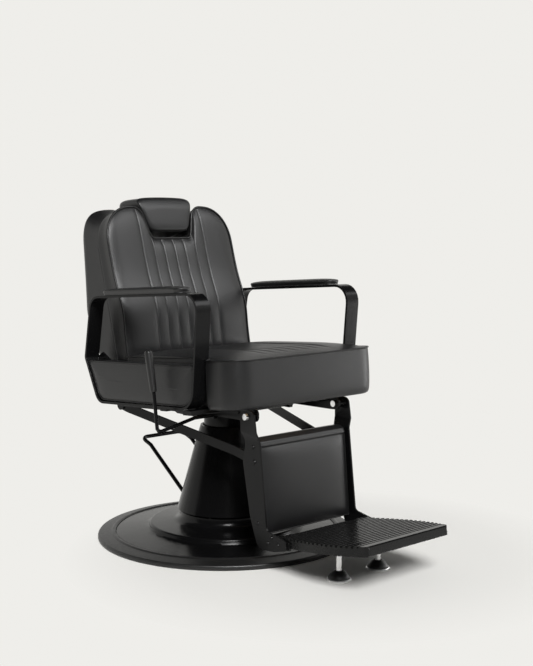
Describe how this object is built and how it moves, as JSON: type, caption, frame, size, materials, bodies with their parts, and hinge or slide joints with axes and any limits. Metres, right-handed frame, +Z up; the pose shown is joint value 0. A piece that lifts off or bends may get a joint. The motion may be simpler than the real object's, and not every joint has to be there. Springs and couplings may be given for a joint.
{
  "type": "hydraulic barber chair",
  "caption": "Reclining barber chair on a hydraulic pump column, with flat-steel arm loops, linked leg rest and ribbed footplate.",
  "frame": {"origin": "middle of the round base, on the floor", "axes": "+Z up along the column; the sitter looks towards -Y; +X is the sitter's left"},
  "size_m": [0.7599, 1.1288, 1.0014],
  "materials": {
    "black_metal": "satin powder coat",
    "black_casting": "satin powder coat on an aluminium casting",
    "bright_chrome": "polished",
    "black_leather": "black leatherette over foam, satin",
    "black_rubber": "moulded, satin",
    "plywood": "plain plywood",
    "plywood_black": "black stained plywood"
  },
  "bodies": {
    "base": {"floor_plate": "black_metal", "base_hub": "black_metal", "base_cover": "black_metal", "trim_ring": "black_rubber"},
    "swivel": {"pump_cylinder": "black_metal", "shroud": "black_metal"},
    "pedal": {"pedal": "black_metal"},
    "lift": {"ram": "bright_chrome", "ram_cover": "black_metal", "underframe": "black_metal", "leg_bracket_right": "black_metal", "leg_bracket_left": "black_metal", "leg_bolt_right": "bright_chrome", "leg_bolt_left": "bright_chrome", "seat_board": "plywood", "seat_cushion": "black_leather", "arm_frame_right": "black_metal", "arm_frame_left": "black_metal", "side_panel_right": "black_leather", "side_panel_left": "black_leather", "arm_pad_right": "black_rubber", "arm_pad_left": "black_rubber"},
    "recline": {"back_frame": "black_metal", "back_cushion": "black_leather", "back_shell": "black_leather"},
    "headrest": {"headrest_post_right": "bright_chrome", "headrest_post_left": "bright_chrome", "headrest_pad": "black_leather"},
    "link_right": {"link_right": "black_metal"},
    "link_left": {"link_left": "black_metal"},
    "legrest": {"leg_plate_right": "black_metal", "leg_plate_left": "black_metal", "link_bolt_right": "black_metal", "link_bolt_left": "black_metal", "calf_board": "plywood_black", "calf_pad": "black_leather", "calf_roll": "black_leather", "footplate": "black_casting"},
    "level_right": {"level_foot_right": "bright_chrome", "level_cap_right": "black_rubber"},
    "level_left": {"level_foot_left": "bright_chrome", "level_cap_left": "black_rubber"},
    "hand_lever": {"hand_lever": "black_metal", "lever_grip": "black_rubber"}
  },
  "joints": [
    {"name": "swivel", "type": "hinge", "parent": "base", "child": "swivel", "pos_m": [0, 0, 0.04], "axis": [0, 0, 1], "continuous": true},
    {"name": "pedal_press", "type": "hinge", "parent": "swivel", "child": "pedal", "pos_m": [0, 0.066, 0.094], "axis": [-1, 0, 0], "range_deg": [0, 20], "stiffness_Nm_per_rad": 8, "springref_deg": -20.05},
    {"name": "seat_lift", "type": "slide", "parent": "swivel", "child": "lift", "axis": [0, 0, 1], "range_m": [0, 0.16]},
    {"name": "back_recline", "type": "hinge", "parent": "lift", "child": "recline", "pos_m": [0, 0.218, 0.512], "axis": [-1, 0, 0], "range_deg": [0, 30]},
    {"name": "headrest_slide", "type": "slide", "parent": "recline", "child": "headrest", "axis": [0, 0.2706, 0.9627], "range_m": [0, 0.06]},
    {"name": "link_turn_right", "type": "hinge", "parent": "recline", "child": "link_right", "pos_m": [-0.233, 0.198, 0.391], "axis": [-1, 0, 0], "range_deg": [-30, 0]},
    {"name": "link_turn_left", "type": "hinge", "parent": "recline", "child": "link_left", "pos_m": [0.233, 0.198, 0.391], "axis": [-1, 0, 0], "range_deg": [-30, 0]},
    {"name": "legrest_swing", "type": "hinge", "parent": "lift", "child": "legrest", "pos_m": [0, -0.3, 0.412], "axis": [-1, 0, 0], "range_deg": [0, 30]},
    {"name": "level_screw_right", "type": "slide", "parent": "legrest", "child": "level_right", "axis": [0, 0, -1], "range_m": [-0.006, 0.012]},
    {"name": "level_screw_left", "type": "slide", "parent": "legrest", "child": "level_left", "axis": [0, 0, -1], "range_m": [-0.006, 0.012]},
    {"name": "lever_pull", "type": "hinge", "parent": "lift", "child": "hand_lever", "pos_m": [0, -0.116, 0.389], "axis": [-1, 0, 0], "range_deg": [0, 18], "stiffness_Nm_per_rad": 4, "springref_deg": -20.05}
  ],
  "couplings": [
    {"joint": "legrest_swing", "follows": "back_recline", "ratio": 1},
    {"joint": "link_turn_right", "follows": "back_recline", "ratio": -1},
    {"joint": "link_turn_left", "follows": "back_recline", "ratio": -1}
  ]
}
